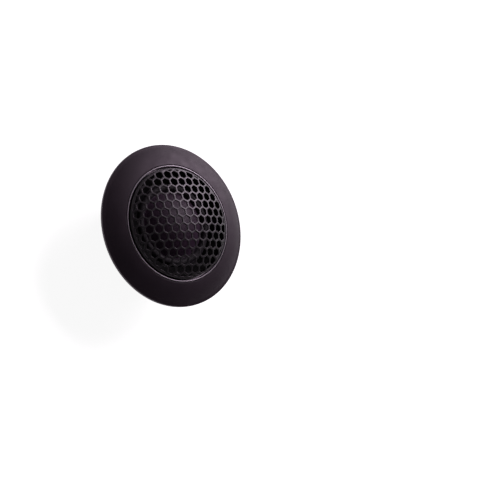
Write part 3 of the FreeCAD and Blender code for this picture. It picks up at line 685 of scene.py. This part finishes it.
def cut_short(outline, limit):
    """Outline trimmed by a circle about the axis, with points along the trimmed edge."""
    trimmed = []
    for here, there in zip(outline, outline[1:] + outline[:1]):
        here, there = Vector(here), Vector(there)
        kept = here.length <= limit
        if kept:
            trimmed.append(here)
        if kept != (there.length <= limit):
            along = there - here
            a, b, c = along.length_squared, 2 * here.dot(along), here.length_squared - limit * limit
            root = math.sqrt(b * b - 4 * a * c)
            share = (-b + root) / (2 * a) if kept else (-b - root) / (2 * a)
            crossing = here + along * share
            if kept:
                leaving = crossing
                trimmed.append(crossing)
                place = len(trimmed)
            else:
                entering = crossing
                trimmed.append(crossing)
    if len(trimmed) == len(outline) and all(Vector(p).length <= limit for p in outline):
        return trimmed
    first = math.atan2(leaving.y, leaving.x)
    sweep = (math.atan2(entering.y, entering.x) - first + math.pi) % TAU - math.pi
    arc = [
        Vector((limit * math.cos(first + sweep * i / 4), limit * math.sin(first + sweep * i / 4)))
        for i in range(1, 4)
    ]
    return trimmed[:place] + arc + trimmed[place:]


def spread(outline, distance):
    """Convex anticlockwise outline moved outward by a distance."""
    moved = []
    for index, here in enumerate(outline):
        before = (here - outline[index - 1]).normalized()
        after = (outline[(index + 1) % len(outline)] - here).normalized()
        out = Vector((before.y + after.y, -before.x - after.x))
        moved.append(here + out * distance / (1 + before.dot(after)))
    return moved


def hole_outlines():
    """Outlines of the punched holes: rows along X, every second row shifted by half a pitch."""
    half_flats = (HOLE_PITCH - STRAND) / 2
    corner = half_flats / math.cos(math.pi / 6)
    row_step = HOLE_PITCH * math.sin(math.pi / 3)
    span = int(MESH_R / row_step) + 1
    turns = [math.pi / 2 + side * math.pi / 3 for side in range(6)]
    outlines = []
    for row in range(-span, span + 1):
        for column in range(-span, span + 1):
            x = HOLE_SHIFT[0] + HOLE_PITCH * (column + (row % 2) / 2)
            y = HOLE_SHIFT[1] + row_step * row
            nearest = min(math.hypot(x + corner * math.cos(a), y + corner * math.sin(a)) for a in turns)
            if nearest < BORDER_R - LEAST_CUT:
                outline = cut_short(rounded_hexagon(x, y, half_flats, MESH_CORNER), BORDER_R - MESH_SOFT)
                outlines.append([p for i, p in enumerate(outline) if (p - outline[i - 1]).length > 0.012])
    return outlines


def skins(place, loops, bounds_loop, thick, cross=()):
    """Front and back faces of a sheet with holes.

    loops are the hole outlines and bounds_loop is the outer one. place turns a plan point and a depth into a
    point in space. cross lists pairs of points of the outer outline that an edge has to join.
    """
    plan, numbered = [], []
    for loop in [*loops, bounds_loop]:
        numbered.append(list(range(len(plan), len(plan) + len(loop))))
        plan += [Vector(point) for point in loop]
    edges = [(loop[i - 1], loop[i]) for loop in numbered for i in range(len(loop))]
    outer_start = numbered[-1][0]
    edges += [(outer_start + i, outer_start + j) for i, j in cross]
    points, _, triangles, _, _, owners = delaunay_2d_cdt(plan, edges, numbered, 1, 1e-6)
    outer = len(numbered) - 1
    kept = [triangle for triangle, owner in zip(triangles, owners) if set(owner) == {outer}]
    vertices, faces = [], []
    for depth in (0.0, thick):
        start = len(vertices)
        vertices += [place(point.x, point.y, depth) for point in points]
        faces += [tuple(start + i for i in triangle) for triangle in kept]
    return vertices, [0.0] * len(vertices), faces


def add_wall(vertices, wear, faces, place, outline, thick, soft):
    """Adds the wall of an outline, eased at both faces.

    soft is positive round a hole and negative round the outside.
    """
    levels = (
        (soft, 0.0, 0.3),
        (soft * 0.3, abs(soft) * 0.3, 0.7),
        (0.0, abs(soft), 0.2),
        (0.0, thick - abs(soft), 0.2),
        (soft * 0.3, thick - abs(soft) * 0.3, 0.7),
        (soft, thick, 0.3),
    )
    start, count = len(vertices), len(outline)
    for widening, depth, rub in levels:
        vertices += [place(point.x, point.y, depth) for point in spread(outline, widening)]
        wear += [rub] * count
    for level in range(len(levels) - 1):
        upper, lower = start + level * count, start + (level + 1) * count
        for i in range(count):
            j = (i + 1) % count
            faces.append((upper + i, upper + j, lower + j, lower + i))


def make_grille():
    """Domed sheet with rounded hexagonal holes and a skirt, built as one closed mesh."""
    columns = 288
    rim_r = MESH_R - MESH_SHOULDER
    turns = [TAU * i / columns for i in range(columns)]
    holes = hole_outlines()
    rim = [(rim_r * math.cos(turn), rim_r * math.sin(turn)) for turn in turns]
    eased = [spread(hole, MESH_SOFT) for hole in holes]
    vertices, wear, faces = skins(on_mesh_sphere, eased, rim, MESH_THICK)
    for hole in holes:
        add_wall(vertices, wear, faces, on_mesh_sphere, hole, MESH_THICK, MESH_SOFT)
    outer_x, _, outer_z = on_mesh_sphere(rim_r, 0, 0)
    inner_x, _, inner_z = on_mesh_sphere(rim_r, 0, MESH_THICK)
    inner_wall = MESH_R - MESH_THICK
    skirt = softened(
        [
            (outer_x, outer_z),
            (MESH_R, on_mesh_sphere(MESH_R, 0, 0)[2], 0.27),
            (MESH_R, MESH_FOOT, 0.08),
            (inner_wall, MESH_FOOT, 0.08),
            (inner_wall, inner_z - 0.15, 0.05),
            (inner_x, inner_z),
        ]
    )
    start, count = len(vertices), len(skirt)
    for turn in turns:
        vertices += [(r * math.cos(turn), r * math.sin(turn), height) for r, height, _ in skirt]
        wear += [rub * 0.6 for _, _, rub in skirt]
    for column in range(columns):
        here, there = start + column * count, start + (column + 1) % columns * count
        faces += [(here + i, there + i, there + i + 1, here + i + 1) for i in range(count - 1)]
    piece = build("hexagon_mesh", vertices, faces, wear, 50.0)
    finished(piece, "mesh_steel", "grille_mesh", "tweeter_body")


def make_gasket():
    """Foam ring in the groove under the flange."""
    inner_r, outer_r = GASKET_INNER_R + GASKET_GAP, GASKET_OUTER_R - GASKET_GAP
    top = GASKET_THICK - SKIN_GAP
    section = softened([(inner_r, SKIN_GAP, 0.1), (outer_r, SKIN_GAP, 0.1), (outer_r, top), (inner_r, top)])
    finished(spun("foam_gasket", section), "foam", "panel_gasket", "tweeter_body")


def make_washer():
    """Flat washer, rounder at its outer edge than at its bore."""
    low_z, high_z, outer_r = low("clamp_washer"), high("clamp_washer"), reach("clamp_washer")
    outside = [(outer_r, low_z, 0.12), (outer_r, high_z, 0.12)]
    section = softened([(NUT_BORE_R, low_z, 0.06), *outside, (NUT_BORE_R, high_z, 0.06)])
    finished(spun("plated_washer", section), "washer_steel", "clamp_washer", "washer")


def nut_outer(angle):
    """Outer radius of the nut at an angle, with its lips eased where a notch starts."""
    step = TAU / NUT_NOTCHES
    offset = abs((angle + step / 2) % step - step / 2)
    across = NOTCH_CENTRE_R * math.sin(offset)
    if across >= NOTCH_R:
        return NUT_R
    bite = NOTCH_CENTRE_R * math.cos(offset) - math.sqrt(NOTCH_R**2 - across**2)
    ease = 0.12
    gap = NUT_R - bite
    if abs(gap) < ease:
        return NUT_R - (gap + ease) ** 2 / (4 * ease)
    return min(NUT_R, bite)


def nut_section(angle):
    """Section of the lock nut at one angle: notched outside, threaded inside."""
    outer = nut_outer(angle)
    shell = softened(
        [
            (NUT_MINOR_R, (NUT_TOP + NUT_BOTTOM) / 2),
            (NUT_MINOR_R, NUT_BOTTOM, 0.2),
            (outer, NUT_BOTTOM, 0.35),
            (outer, NUT_TOP, 0.2),
            (NUT_BORE_R, NUT_TOP, 0.12),
            (NUT_BORE_R, NUT_BORE_END, 0.05),
            (NUT_MINOR_R, NUT_BORE_END, 0.12),
        ],
        4,
    )[1:]
    groove = PILOT_R + THREAD_CLEARANCE - NUT_MINOR_R
    mouth_trim, floor_trim = 0.09, 0.07  # sloping flanks: narrower here than at the collar's radii
    half_mouth = THREAD_ROOT_WIDTH / 2 + THREAD_CLEARANCE - mouth_trim
    half_floor = THREAD_CREST_WIDTH / 2 + THREAD_CLEARANCE - floor_trim
    first, last = NUT_BOTTOM + 0.25, NUT_BORE_END - 0.15
    rows = thread_rows(angle, first, last, half_mouth, half_floor)
    thread = [(NUT_MINOR_R + groove * share, height, 0.0) for height, share in rows]
    return shell + thread[::-1]


def make_nut():
    """Lock nut, with close columns across each notch and wider ones between."""
    period = TAU / NUT_NOTCHES
    fine = 0.19 * period
    across = [fine * i / 8 for i in range(-8, 9)]
    between = [fine + (period - 2 * fine) * i / 10 for i in range(1, 10)]
    offsets = across + between
    angles = [period * notch + offset for notch in range(NUT_NOTCHES) for offset in offsets]
    angles.append(angles[0] + TAU)
    piece = spun("notched_lock_nut", nut_section, angles)
    finished(piece, "nut_plastic", "lock_nut", "nut")


def make_faceplate():
    """Waveguide: smooth flare from the throat to a rim under the mesh."""
    throat_r, throat_top, throat_foot = 13.0, 1.6, 1.12
    clamp_r, clamp_z, step_r = 13.6, 0.92, 15.85
    rim_r, rim_width, top = reach("faceplate"), 0.35, high("faceplate")
    foot = low("faceplate") + SKIN_GAP
    flare = arc_between((rim_r - rim_width, top), (14.4, 2.65), (throat_r, throat_top), 12)
    section = softened(
        [
            (throat_r, throat_foot),
            (clamp_r, throat_foot),
            (clamp_r, clamp_z),
            (step_r, clamp_z),
            (step_r, foot),
            (rim_r, foot),
            (rim_r, top, 0.12),
            (rim_r - rim_width, top, 0.06),
            *flare,
            (throat_r, throat_top, 0.12),
        ]
    )
    piece = spun("waveguide", section)
    finished(piece, "faceplate_plastic", "faceplate", "tweeter_body")


def make_dome():
    """Soft dome with a rolled foot."""
    base_r, base_z, apex, thick = 10.2, 1.1, high("dome"), 0.25
    rise = apex - base_z
    sphere = (base_r**2 + rise**2) / (2 * rise)
    steps = 26
    tilts = [math.asin(base_r / sphere) * i / steps for i in range(steps)]
    outer = [(sphere * math.sin(tilt), apex - sphere * (1 - math.cos(tilt)), 0.0) for tilt in tilts]
    shrink = 1 - thick / sphere
    inner = [(r * shrink, z - thick * math.cos(tilt), 0.0) for tilt, (r, z, _) in zip(tilts, outer)]
    foot = softened(
        [
            (base_r - 0.6, base_z + 0.55),
            (base_r, base_z + 0.1, 0.12),
            (reach("dome"), base_z + 0.1, 0.05),
            (reach("dome"), low("dome") + SKIN_GAP, 0.05),
            (base_r - 0.2, low("dome") + SKIN_GAP, 0.05),
            (base_r - 0.8, base_z + 0.4),
        ]
    )[1:-1]
    section = outer[:-1] + [(r, z, 0.0) for r, z, _ in foot] + inner[-2::-1]
    finished(spun("silk_dome", section), "dome_fabric", "dome", "moving_coil")


def make_surround():
    """Half-roll edge between the still ring outside and the moving dome inside."""
    roll_centre, roll_r, base_z, thick, outer_r = 11.55, 1.2, 1.0, 0.2, reach("surround")
    land_top, land_foot = base_z + 0.1, base_z - 0.09
    steps = 18
    turns = [math.pi * i / steps for i in range(steps + 1)]
    top = [(roll_centre - roll_r * math.cos(t), base_z + roll_r * math.sin(t), 0.0) for t in turns[:-1]]
    under_r = roll_r - thick
    under = [(roll_centre + under_r * math.cos(t), base_z + under_r * math.sin(t), 0.0) for t in turns]
    land = [
        (roll_centre + roll_r, land_top, 0.0),
        (outer_r, land_top, 0.0),
        (outer_r, land_foot, 0.0),
        (roll_centre + under_r, land_foot, 0.0),
    ]
    section = top + land + under
    piece = spun("half_roll_surround", section)
    finished(piece, "surround_fabric", "surround")
    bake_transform(piece)


def well_edge(angle, half_x, half_y, corner):
    """Distance from the axis to a rounded rectangle at an angle."""
    c, s = abs(math.cos(angle)), abs(math.sin(angle))
    flat_x = half_x / c if c > 1e-9 else math.inf
    flat_y = half_y / s if s > 1e-9 else math.inf
    radius = min(flat_x, flat_y)
    x, y = radius * c, radius * s
    if x > half_x - corner and y > half_y - corner:
        cx, cy = half_x - corner, half_y - corner
        along = cx * c + cy * s
        radius = along + math.sqrt(max(0.0, along**2 - cx * cx - cy * cy + corner * corner))
    return radius


def cap_section(angle):
    """Section of the rear cap at one angle, from the well's mouth round to its inner wall."""
    well = well_edge(angle, *WELL_HALF, WELL_CORNER)
    outside = well_edge(angle, WELL_HALF[0] + CAP_WALL, WELL_HALF[1] + CAP_WALL, WELL_CORNER + CAP_WALL)
    return softened(
        [
            (well, BOARD_BACK + SKIN_GAP),
            (well, CAP_REAR, 0.3),
            (CAP_REAR_R, CAP_REAR, 0.55),
            (CAP_R, CAP_TAPER, 1.2),
            (CAP_R, CAP_TOP, 0.15),
            (CAP_R - CAP_WALL, CAP_TOP, 0.1),
            (CAP_R - CAP_WALL, CAP_TAPER),
            (CAP_REAR_R - CAP_WALL / 2, CAP_REAR + CAP_WALL),
            (outside, CAP_REAR + CAP_WALL),
            (outside, BOARD_BACK + SKIN_GAP, 0.1),
        ],
        4,
    )


def make_rear_cap():
    """Tapered cover with the rectangular terminal well."""
    piece = spun("tapered_rear_cap", cap_section, even_turns(360))
    finished(piece, "pod_plastic", "rear_cap", "tweeter_body")


def pod_section(angle):
    """Section of the pod at one angle. The hooks grow out of the wall's end with eased sides."""
    pocket_r, chamber_r, motor_r, lip_r = 16.5, 16.2, 13.25, 12.65
    shelf, step, shelf_end = 0.1, -2.9, -3.6
    barb_r, tip = POD_R + HOOK_BARB, COLLAR_END - HOOK_LENGTH
    wall_end, seat = COLLAR_END - SKIN_GAP, SEAT_Z + SKIN_GAP
    section = softened(
        [
            (motor_r, shelf),
            (pocket_r, shelf),
            (pocket_r, POD_FLANGE_TOP, 0.08),
            (POD_FLANGE_R, POD_FLANGE_TOP, 0.1),
            (POD_FLANGE_R, seat, 0.08),
            (POD_R, seat),
            (POD_R, wall_end, 0.05),
            (barb_r, wall_end, 0.12),
            (barb_r, COLLAR_END - HOOK_LENGTH / 2, 0.2),
            (POD_R, tip, 0.15),
            (chamber_r, tip, 0.12),
            (chamber_r, shelf_end),
            (lip_r, shelf_end),
            (lip_r, step),
            (motor_r, step),
        ],
        4,
    )
    period = TAU / HOOKS
    from_middle = abs(angle % period - period / 2)
    inset = (HOOK_HALF_ARC - from_middle) * POD_R
    share = 0.0
    if inset > 0:
        short = max(0.0, HOOK_EASE - inset)
        share = 1.0 - (HOOK_EASE - math.sqrt(HOOK_EASE**2 - short**2)) / HOOK_LENGTH
    deepest = wall_end - HOOK_LENGTH * share
    widest = POD_R + HOOK_BARB * share
    flange_foot = SEAT_Z - 0.5
    return [
        (min(r, widest) if z < flange_foot else r, max(z, deepest), rub if share else 0.0)
        for r, z, rub in section
    ]


def make_pod():
    """Housing cup with four snap hooks that reach past the end of the collar."""
    period = TAU / HOOKS
    hair = 4e-5  # width of the step where a hook starts
    rise = [hair, HOOK_EASE * 0.1, HOOK_EASE * 0.3, HOOK_EASE * 0.6, HOOK_EASE]
    up = [-HOOK_HALF_ARC - hair / POD_R, *(step / POD_R - HOOK_HALF_ARC for step in rise)]
    inner = 2 * (HOOK_HALF_ARC - HOOK_EASE / POD_R)
    across = [up[-1] + inner * i / 14 for i in range(1, 14)]
    gap = period - 2 * HOOK_HALF_ARC
    between = [HOOK_HALF_ARC + gap * i / 34 for i in range(1, 34)]
    pattern = up + across + [-angle for angle in reversed(up)] + between
    angles = [period / 2 + period * hook + angle for hook in range(HOOKS) for angle in pattern]
    angles.append(angles[0] + TAU)
    piece = spun("hooked_pod", pod_section, angles)
    finished(piece, "pod_plastic", "pod_housing", "tweeter_body")


def blade_point(u, v, depth):
    """Point of a terminal strip: u across it, v along it from the tip, bent through a right angle."""
    out = BLADE_THICK / 2 - depth
    straight = BLADE_BEND_Z - BLADE_TIP
    turn = (v - straight) / BLADE_BEND_R
    if turn <= 0:
        return (u, -out, BLADE_TIP + v)
    if turn < math.pi / 2:
        radius = BLADE_BEND_R + out
        return (u, BLADE_BEND_R - radius * math.cos(turn), BLADE_BEND_Z + radius * math.sin(turn))
    along = v - straight - BLADE_BEND_R * math.pi / 2
    return (u, BLADE_BEND_R + along, BLADE_BEND_Z + BLADE_BEND_R + out)


def make_blades():
    """Stamped terminal tabs with eased edges, chamfered tips and a latch hole."""
    bend_start = BLADE_BEND_Z - BLADE_TIP
    bend_length = BLADE_BEND_R * math.pi / 2
    length = bend_start + bend_length + BLADE_FOOT_END - BLADE_BEND_R
    cuts = [bend_start + bend_length * i / 8 for i in range(9)]
    centre = Vector((0.0, BLADE_HOLE))
    hole = [centre + BLADE_HOLE_R * Vector((math.cos(turn), math.sin(turn))) for turn in even_turns(40)[:-1]]
    for side, (node, width) in zip((1, -1), BLADE_WIDTHS.items()):
        half = width / 2
        tip_half = half - BLADE_CHAMFER
        tip = [(-tip_half, 0.0, 0.25), (tip_half, 0.0, 0.25), (half, BLADE_CHAMFER, 0.25)]
        foot = [(half, length, 0.35), (-half, length, 0.35)]
        corners = softened([*tip, *foot, (-half, BLADE_CHAMFER, 0.25)], 4)
        outline = [Vector(point[:2]) for point in corners]
        right = max(i for i, point in enumerate(outline) if point.x > half - 0.01 and point.y < bend_start)
        outline[right + 1 : right + 1] = [Vector((half, cut)) for cut in cuts]
        left = max(i for i, point in enumerate(outline) if point.x < 0.01 - half and point.y > bend_start)
        outline[left + 1 : left + 1] = [Vector((-half, cut)) for cut in reversed(cuts)]
        cross = [(right + 1 + i, left + len(cuts) - i) for i in range(len(cuts))]

        def place(u, v, depth):
            x, y, z = blade_point(u, v, depth)
            return (side * BLADE_X + x, y, z)

        eased = spread(hole, BLADE_SOFT)
        rim = spread(outline, -BLADE_SOFT)
        vertices, wear, faces = skins(place, [eased], rim, BLADE_THICK, cross)
        add_wall(vertices, wear, faces, place, hole, BLADE_THICK, BLADE_SOFT)
        add_wall(vertices, wear, faces, place, outline, BLADE_THICK, -BLADE_SOFT)
        finished(build(node + "_tab", vertices, faces, wear), "terminal_brass", node, "tweeter_body")


def make_rivets():
    """Rivets with domed heads, one through each tab's foot and the board."""
    shank_r, head_r, board_top = 0.8, 1.3, -7.7
    section = softened(
        [
            (0.0, RIVET_TAIL),
            (0.45, RIVET_TAIL, 0.2),
            (head_r - 0.2, RIVET_TAIL + 0.12, 0.4),
            (head_r, BOARD_BACK, 0.05),
            (shank_r, BOARD_BACK),
            (shank_r, board_top),
            (head_r, board_top, 0.05),
            (head_r - 0.15, RIVET_TOP - 0.1, 0.3),
            (0.4, RIVET_TOP, 0.2),
            (0.0, RIVET_TOP),
        ]
    )
    places = [(BLADE_X, RIVET_Y), (-BLADE_X, RIVET_Y)]
    piece = spun("domed_rivets", section, even_turns(48), places)
    finished(piece, "terminal_brass", "blade_rivets", "tweeter_body")


def make_polarity_marks():
    """Printed plus and minus on the board, each in line with its tab."""
    arm, half, ink_thick, off_axis = 0.62, 0.13, 0.02, 2.6
    bar = [(-arm, -half), (arm, -half), (arm, half), (-arm, half)]
    plus = [(-arm, -half), (-half, -half), (-half, -arm), (half, -arm), (half, -half), (arm, -half)]
    plus += [(-x, -y) for x, y in plus]
    vertices, faces = [], []
    for centre_x, mark in ((BLADE_X, plus), (-BLADE_X, bar)):
        start, count = len(vertices), len(mark)
        for z in (BOARD_BACK - ink_thick, BOARD_BACK + SKIN_GAP):
            vertices += [(centre_x + x, y - off_axis, z) for x, y in mark]
        front = [start + i for i in range(count)]
        back = [start + count + i for i in range(count)]
        faces += [tuple(front), tuple(back)]
        faces += [(front[i - 1], front[i], back[i], back[i - 1]) for i in range(count)]
    piece = build("polarity_print", vertices, faces)
    piece.data.materials.append(MATERIALS["marking_ink"])
    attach(piece, "tweeter_body")


def dress_cad_nodes():
    """Every CAD node that still shows gets the material of its slot."""
    slots = {part["node"]: part["material_slot"] for part in frame["record"]["subparts"]}
    for node, shape in frame["nodes"].items():
        shape.data.materials.clear()
        shape.data.materials.append(MATERIALS[slots[node]])


# --- light, floor and camera ---

FLOOR_Z = CAP_REAR
AIM = Vector((0.0, 0.0, 0.45))  # the point of the tweeter that the framing is counted from
VIEW_AZIMUTH = -75.4
VIEW_ELEVATION = 53.7
VIEW_ROLL = 70.45
VIEW_DISTANCE = 1500.0
FRAME_WIDTH = 151.0
FRAME_RIGHT = 23.8
FRAME_DOWN = 7.3
KEY_AZIMUTH = 124.5
KEY_ELEVATION = 31.0
KEY_DISTANCE = 900.0
KEY_SIDE = 560.0
KEY_WATTS = 5.8
KEY_COLOUR = (1.0, 0.88, 0.99)
ROOM_STRENGTH = 0.045
FLOOR_HALF = 3000.0


def direction(azimuth, elevation):
    """Unit vector from the tweeter towards a place round it. Azimuth 0 is on the -Y side, 90 on +X."""
    a, e = math.radians(azimuth), math.radians(elevation)
    return Vector((math.sin(a) * math.cos(e), -math.cos(a) * math.cos(e), math.sin(e)))


def make_camera():
    """Long lens on the tweeter's three-quarter front, rolled so that the tweeter faces sideways in view."""
    back = direction(VIEW_AZIMUTH, VIEW_ELEVATION)
    turn = (-back).to_track_quat("-Z", "Y") @ Quaternion((0, 0, 1), math.radians(VIEW_ROLL))
    data = bpy.data.cameras.new("studio_camera")
    data.sensor_width = 36.0
    data.lens = data.sensor_width * VIEW_DISTANCE / FRAME_WIDTH
    data.clip_start = 0.05
    data.clip_end = 20.0
    camera = bpy.data.objects.new("studio_camera", data)
    camera.rotation_mode = "QUATERNION"
    camera.rotation_quaternion = turn
    middle = AIM + turn @ Vector((FRAME_RIGHT, -FRAME_DOWN, 0.0))
    camera.location = (middle + back * VIEW_DISTANCE) * MM
    bpy.context.scene.collection.objects.link(camera)
    bpy.context.scene.camera = camera


def make_key_light():
    """Square soft box low on one side, for the long highlight on the flange."""
    data = bpy.data.lights.new("key_box", "AREA")
    data.shape = "SQUARE"
    data.size = KEY_SIDE * MM
    data.energy = KEY_WATTS
    data.color = KEY_COLOUR
    lamp = bpy.data.objects.new("key_box", data)
    towards = direction(KEY_AZIMUTH, KEY_ELEVATION)
    lamp.location = towards * KEY_DISTANCE * MM
    lamp.rotation_mode = "QUATERNION"
    lamp.rotation_quaternion = (-towards).to_track_quat("-Z", "Y")
    bpy.context.scene.collection.objects.link(lamp)


def make_floor():
    """Wide pale floor under the rear cap. Its faint glow keeps the backdrop even."""
    size = FLOOR_HALF * MM
    data = bpy.data.meshes.new("studio_floor")
    z = FLOOR_Z * MM
    corners = [(-size, -size, z), (size, -size, z), (size, size, z), (-size, size, z)]
    data.from_pydata(corners, [], [(0, 1, 2, 3)])
    floor = bpy.data.objects.new("studio_floor", data)
    bpy.context.scene.collection.objects.link(floor)
    s = Surface("studio_paper", roughness=0.85, Emission_Strength=0.9, Emission_Color=(1.0, 1.0, 1.0, 1.0))
    colour = s.mixed(s.noise(40.0, 2.0), (0.86, 0.86, 0.86), (0.88, 0.88, 0.88))
    data.materials.append(s.done(colour))


def make_room():
    """Dim, even light from all round, shown with the plain view transform."""
    world = bpy.data.worlds.new("studio_room")
    world.use_nodes = True
    world.node_tree.nodes["Background"].inputs["Color"].default_value = (1.0, 1.0, 1.0, 1.0)
    world.node_tree.nodes["Background"].inputs["Strength"].default_value = ROOM_STRENGTH
    bpy.context.scene.world = world
    bpy.context.scene.view_settings.view_transform = "Standard"


dress_cad_nodes()
make_bezel()
make_trim_ring()
make_grille()
make_gasket()
make_washer()
make_nut()
make_faceplate()
make_dome()
make_surround()
make_rear_cap()
make_pod()
make_blades()
make_rivets()
make_polarity_marks()
make_floor()
make_key_light()
make_room()
make_camera()
